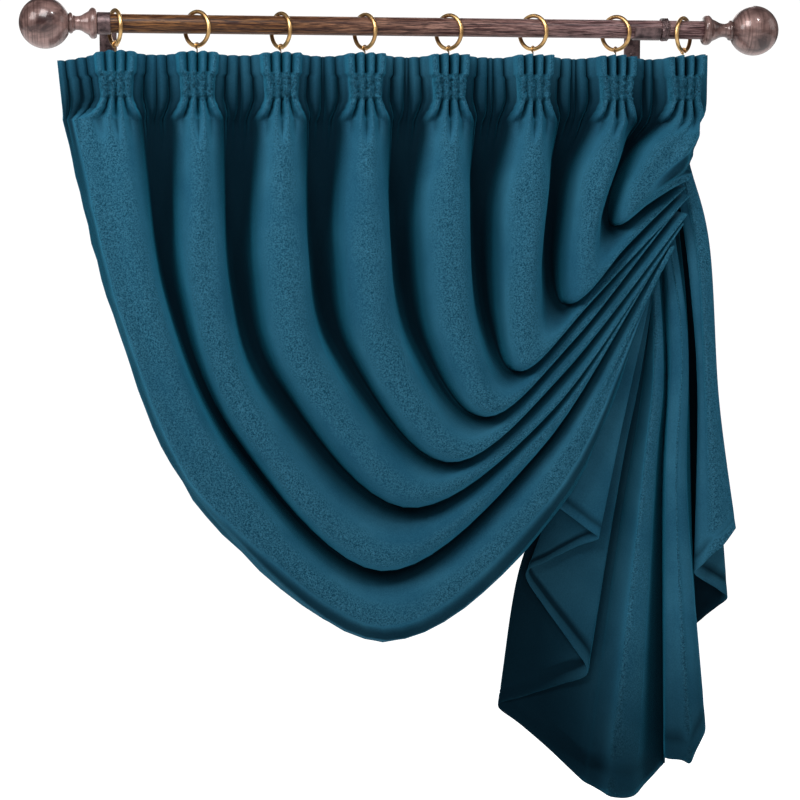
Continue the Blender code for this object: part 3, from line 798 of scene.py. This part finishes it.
def creaseSection(t):
    tight, loose = tail["rounding"]
    start, length = tail["roundedFrom"]
    rounding = tight + (loose - tight) * ease((t - start) / length)
    places = []
    for crease in tail["creases"]:
        points = [Vector(crease[drop]) for drop in tail["drops"]]
        x, height, depth = through(points, (len(points) - 1) * t)
        places.append(Vector((x, -depth, height)))
    corners = [places[0]]
    for before, here, after in zip(places, places[1:], places[2:]):
        back, ahead = (before - here) * rounding, (after - here) * rounding
        sharpness = max(-1, min(1, (after.y - before.y) / tail["sharpTurn"]))
        apart = Vector((0, tail["gap"] * sharpness, 0))
        corners += [here + back - apart, here + (back + ahead) / 12, here + ahead + apart]
    corners.append(places[-1])
    return corners


def stitches(t):  # 1 on the hem's stitch line, 0 away from it
    return math.exp(-((t - tail["hemLine"]["place"]) / tail["hemLine"]["width"]) ** 2)


# painted shade across the tail, read between the creases' values, and in the hem's stitch groove
def tailShade(s, t):
    shades = [crease["shade"] for crease in tail["creases"]]
    place = max(0, min(len(shades) - 1, (s + 1) / 3))  # three corners to a crease
    i = min(int(place), len(shades) - 2)
    share = place - i
    share = 1 - (1 - share) ** 3 if shades[i + 1] > shades[i] else share ** 3  # the painted shade fills the valley
    # painted shade in the stitch groove along the hem
    stitchShade = tail["hemLine"]["shade"] * stitches(t)
    return min(1, shades[i] + (shades[i + 1] - shades[i]) * share + stitchShade)


def makeTail():
    waves = tail["hemWaves"]
    spans, start = tail["wrinkled"]
    rows, hollows = [], []
    for r in range(tail["rows"] + 1):
        t = r / tail["rows"]
        corners = creaseSection(t)
        count = (len(corners) - 1) * tail["perSpan"]
        row = []
        for c in range(count + 1):
            s = c / tail["perSpan"]
            point = through(corners, s)
            for across, along, depth in tail["wrinkles"]:
                spot = Vector((s * across * spans, t * along, 4))
                point.y += depth * noise.noise(spot) * ease(t / start)
            point.y += tail["hemLine"]["depth"] * stitches(t)
            low = ease((t - waves["from"]) / (1 - waves["from"]))
            point.z += waves["height"] * noise.noise(Vector((s * waves["across"], 3, 8))) * low
            row.append(point)
        rows.append(row)
        hollows.append([tailShade(c / tail["perSpan"], t) for c in range(count + 1)])
    return sheetMesh("tail_velvet", rows, hollows, tail["thickness"])


tailPiece = dress(makeTail(), "velvet", "tail_panel")
print("tail hung")


def aroundRod(outline, name, steps=96, sweep=360):  # turns an outline of (along, radius) round the rod's axis
    shape = bmesh.new()
    verts = [shape.verts.new((along * mm, 0, radius * mm)) for along, radius in outline]
    for first, second in zip(verts, verts[1:]):
        shape.edges.new((first, second))
    if sweep < 360:
        bmesh.ops.remove_doubles(shape, verts=shape.verts, dist=weld)
        start = Matrix.Rotation(math.radians(180 - sweep / 2), 3, "X")
        bmesh.ops.rotate(shape, matrix=start, verts=shape.verts)
    bmesh.ops.spin(shape, geom=shape.verts[:] + shape.edges[:], cent=(0, 0, 0), axis=(1, 0, 0),
                   angle=math.radians(sweep), steps=steps, use_merge=sweep == 360)
    if sweep < 360:
        bmesh.ops.holes_fill(shape, edges=[edge for edge in shape.edges if edge.is_boundary], sides=0)
    bmesh.ops.translate(shape, vec=(0, -rod["standOff"] * mm, 0), verts=shape.verts)
    return finishMesh(shape, name, recalculate=True)


def smoothOutline(points, steps):
    knots = [Vector(point) for point in points]
    return [tuple(through(knots, step / steps)) for step in range((len(knots) - 1) * steps + 1)]


def makeRod():
    radius, lip, steps = rod["radius"], rod["lip"], rod["steps"]
    start, end = rod["start"], rod["end"]
    outline = [(start, 0), (start, radius - lip), (start + lip, radius)]
    outline += [(start + (end - start) * step / steps, radius) for step in range(1, steps)]
    outline += [(end - lip, radius), (end, radius - lip), (end, 0)]
    return aroundRod(outline, "pole")


dress(makeRod(), "walnut", "rod")

finial = {
    "seat": 0.3,
    "foot": ((0.0, 19.0), (1.0, 21.0), (3.0, 22.5), (5.5, 22.8), (8.0, 22.3), (10.0, 20.4), (11.5, 18.0)),
    "neck": (
        (11.5, 18.0), (13.0, 16.8), (17.0, 14.5), (22.0, 11.4), (26.0, 10.4), (30.0, 10.6), (34.0, 12.5),
    ),
    "bead": ((34.0, 12.5), (35.0, 14.5), (36.5, 15.4), (38.5, 15.3), (40.0, 14.0), (40.5, 13.0)),
    "ballCentre": 75.0,
    "ballRadius": 38.0,
    "ballSteps": 40,
    "stretch": 34.0,  # the part of it that takes up its lead
}


def makeFinial(name, foot, direction, lead):  # lead: how far its foot reaches back over the rod's end
    outline = [(0.0, 0.0)]
    for part in ("foot", "neck", "bead"):
        outline += smoothOutline(finial[part], 4)
    start = math.asin(finial["bead"][-1][1] / finial["ballRadius"])
    for step in range(1, finial["ballSteps"] + 1):
        angle = start + (math.pi - start) * step / finial["ballSteps"]
        along = finial["ballCentre"] - finial["ballRadius"] * math.cos(angle)
        height = abs(finial["ballRadius"] * math.sin(angle)) if step < finial["ballSteps"] else 0.0
        outline.append((along, height))
    stretched = [(along - lead * (1 - ease(along / finial["stretch"])), radius) for along, radius in outline]
    return aroundRod([(foot + direction * along, radius) for along, radius in stretched], name)


dress(makeFinial("ball_left", rod["start"] - finial["seat"], -1, 1), "bronze", "finial_left")
dress(makeFinial("ball_right", rod["end"] + finial["seat"], 1, 6.5), "bronze", "finial_right")
print("rod and finials turned")

bracket = {
    "left": {"plate": 0.0, "arm": -6.0, "sleeve": (-16.5, 3.5), "sweep": 360},
    "right": {"plate": 818.0, "arm": 818.0, "sleeve": (796.5, 839.0), "sweep": 190},
    "plateSize": (26.0, 5.0, 96.0),
    "plateTop": 18.0,
    "armRadius": 4.5,
    "sleeveRadius": 16.5,
    "bore": 14.4,
    "lip": 1.2,
    "bevel": 1.4,
    "collar": (840.0, 851.5),
    "swell": {"inset": 0.6, "height": 1.3, "round": 0.35, "grooves": 0.12},  # of the collar's outside
    "knobs": 1.3,  # height of the lumps on it
    "screws": (-32.0, -62.0),
}
screw = {
    "radius": 4.2,
    "topRadius": 2.6,
    "depth": 1.6,
    "sunk": 0.6,
    "bevel": 0.3,
    "slot": (4.4, 0.8, 0.3),
    "slotLift": 0.75,
    "slotTurns": (35, 125),
}


def sleeveOutline(start, end, radius):
    bore, lip = bracket["bore"], bracket["lip"]
    corners = [(start, bore), (start, radius - lip), (start + lip, radius), (end - lip, radius),
               (end, radius - lip), (end, bore), (start, bore)]
    outline = []
    for (x, y), (nextX, nextY) in zip(corners, corners[1:]):
        steps = 12 if abs(nextX - x) > 5 else 2
        outline += [(x + (nextX - x) * step / steps, y + (nextY - y) * step / steps) for step in range(steps)]
    return outline + [corners[-1]]


def addTo(shape, other):
    mesh = bpy.data.meshes.new("part")
    other.to_mesh(mesh)
    other.free()
    shape.from_mesh(mesh)
    bpy.data.meshes.remove(mesh)


def makeBracket(side):
    place = bracket[side]
    wide, thick, tall = bracket["plateSize"]
    shape = bmesh.new()
    bmesh.ops.create_cube(shape, size=1)
    bmesh.ops.scale(shape, vec=(wide * mm, thick * mm, tall * mm), verts=shape.verts)
    middle = (place["plate"] * mm, -thick / 2 * mm, (bracket["plateTop"] - tall / 2) * mm)
    bmesh.ops.translate(shape, vec=middle, verts=shape.verts)
    bmesh.ops.bevel(shape, geom=shape.edges[:], offset=bracket["bevel"] * mm, affect="EDGES", segments=3,
                    profile=0.5, material=-1)
    arm = bmesh.new()
    reach = rod["standOff"] - thick - bracket["bore"]
    bmesh.ops.create_cone(arm, cap_ends=True, segments=32, radius1=bracket["armRadius"] * mm,
                          radius2=bracket["armRadius"] * mm, depth=reach * mm)
    turn = Matrix.Rotation(math.radians(90), 4, "X")
    shift = Matrix.Translation(Vector((place["arm"], -thick - reach / 2, 0)) * mm)
    bmesh.ops.transform(arm, matrix=shift @ turn, verts=arm.verts)
    addTo(shape, arm)
    for height in bracket["screws"]:
        addTo(shape, screwHead(place["plate"], -thick, height))
    piece = finishMesh(shape, "bracket_" + side + "_plate")
    piece.data.set_sharp_from_angle(angle=math.radians(35))
    return piece


def screwHead(x, y, z):
    head = bmesh.new()
    bmesh.ops.create_cone(head, cap_ends=True, segments=32, radius1=screw["radius"] * mm,
                          radius2=screw["topRadius"] * mm, depth=screw["depth"] * mm)
    rims = [edge for edge in head.edges if len(edge.link_faces) == 2 and edge.calc_face_angle() > 0.5]
    bmesh.ops.bevel(head, geom=rims, offset=screw["bevel"] * mm, affect="EDGES", segments=2, profile=0.5,
                    material=-1)
    lift = Matrix.Translation((0, 0, screw["slotLift"] * mm))
    for angle in screw["slotTurns"]:
        slot = bmesh.new()
        bmesh.ops.create_cube(slot, size=1)
        bmesh.ops.scale(slot, vec=Vector(screw["slot"]) * mm, verts=slot.verts)
        across = Matrix.Rotation(math.radians(angle), 4, "Z")
        bmesh.ops.transform(slot, matrix=across @ lift, verts=slot.verts)
        addTo(head, slot)
    turn = Matrix.Rotation(math.radians(90), 4, "X")
    shift = Matrix.Translation(Vector((x, y - screw["sunk"], z)) * mm)
    bmesh.ops.transform(head, matrix=shift @ turn, verts=head.verts)
    return head


for side in ("left", "right"):
    plate = dress(makeBracket(side), "bracket", "bracket_" + side)
    sleeve = aroundRod(sleeveOutline(*bracket[side]["sleeve"], bracket["sleeveRadius"]), "sleeve_" + side,
                       sweep=bracket[side]["sweep"])
    sleeve.data.set_sharp_from_angle(angle=math.radians(40))
    dress(sleeve, "bracket")


def makeCollar():  # a cast ring with a knobbly outside
    start, end = bracket["collar"]
    bore, bulge, look = bracket["bore"], bracket["knobs"], bracket["swell"]
    outline = [(start, bore)]
    for step in range(33):
        share = step / 32
        swell = math.sin(math.pi * share) ** look["round"] + look["grooves"] * math.sin(3 * math.pi * share)
        radius = bracket["sleeveRadius"] - look["inset"] + swell * look["height"]
        outline.append((start + (end - start) * share, radius))
    outline += [(end, bore), (start, bore)]
    piece = aroundRod(outline, "collar", steps=160)
    for vert in piece.data.vertices:
        spoke = Vector((0, vert.co.y / mm + rod["standOff"], vert.co.z / mm))
        if spoke.length > bore + 0.8:
            lump = noise.noise(vert.co / mm * 0.28) + 0.5 * noise.noise(vert.co / mm * 0.6)
            vert.co += spoke.normalized() * lump * bulge * mm
    return piece


dress(makeCollar(), "bracket", "stop_collar")
print("brackets made")

ring = {"radius": 24.8, "wire": 2.6, "gap": 0.4, "rounded": 0.5, "sides": 20, "steps": 96}
hook = {"loop": 4.3, "wire": 1.1, "foot": -62.0, "angles": range(-40, 280, 10)}


def ringHeight(turn):  # hangs on the rod's top, or on both flanks when swung far
    reach = rod["radius"] + ring["wire"] + ring["gap"]
    swing = math.radians(abs(turn))
    spare = (ring["radius"] * math.cos(swing)) ** 2 - reach ** 2
    return -min(ring["radius"] - reach, math.sqrt(max(spare, 0)) * math.tan(swing))


def makeRing(number, pleat):
    shape = bmesh.new()
    bmesh.ops.create_circle(shape, segments=ring["sides"], radius=(ring["wire"] + ring["rounded"]) * mm)
    stand = Matrix.Rotation(math.radians(90), 4, "X")
    out = Matrix.Translation(((ring["radius"] + ring["rounded"] * 0.6) * mm, 0, 0))
    bmesh.ops.transform(shape, matrix=out @ stand, verts=shape.verts)
    bmesh.ops.spin(shape, geom=shape.verts[:] + shape.edges[:], cent=(0, 0, 0), axis=(0, 0, 1),
                   angle=2 * math.pi, steps=ring["steps"], use_merge=True)
    hang = Matrix.Rotation(math.radians(pleat["turn"]), 4, "Z") @ Matrix.Rotation(math.radians(90), 4, "Y")
    spot = Vector((pleat["across"], -rod["standOff"], ringHeight(pleat["turn"]))) * mm
    bmesh.ops.transform(shape, matrix=Matrix.Translation(spot) @ hang, verts=shape.verts)
    return finishMesh(shape, f"curtain_ring_{number}", recalculate=True)


def makeHook(number, pleat):
    swing = math.radians(pleat["turn"])
    inside = ring["radius"] - ring["wire"] - ring["gap"]
    centre = ringHeight(pleat["turn"]) - inside - hook["loop"] + hook["wire"]
    route = []
    for degrees in hook["angles"]:
        angle = math.radians(degrees)
        sideways, up = hook["loop"] * math.cos(angle), hook["loop"] * math.sin(angle)
        route.append((sideways * math.cos(swing), sideways * math.sin(swing), centre + up))
    route.append((0, 0, hook["foot"]))
    wire = bpy.data.curves.new(f"pin_{number}", "CURVE")
    wire.dimensions = "3D"
    wire.bevel_depth = hook["wire"] * mm
    wire.bevel_resolution = 4
    wire.use_fill_caps = True
    path = wire.splines.new("POLY")
    path.points.add(len(route) - 1)
    for point, place in zip(path.points, route):
        spot = Vector(place) + Vector((pleat["across"], -rod["standOff"], 0))
        point.co = (*(spot * mm), 1)
    piece = bpy.data.objects.new(f"pin_{number}", wire)
    bpy.context.scene.collection.objects.link(piece)
    return piece


for number, pleat in enumerate(pleats, 1):
    dress(makeRing(number, pleat), "brass", f"ring_{number}")
    dress(makeHook(number, pleat), "brass", f"hook_{number}")
print("rings and hooks hung")
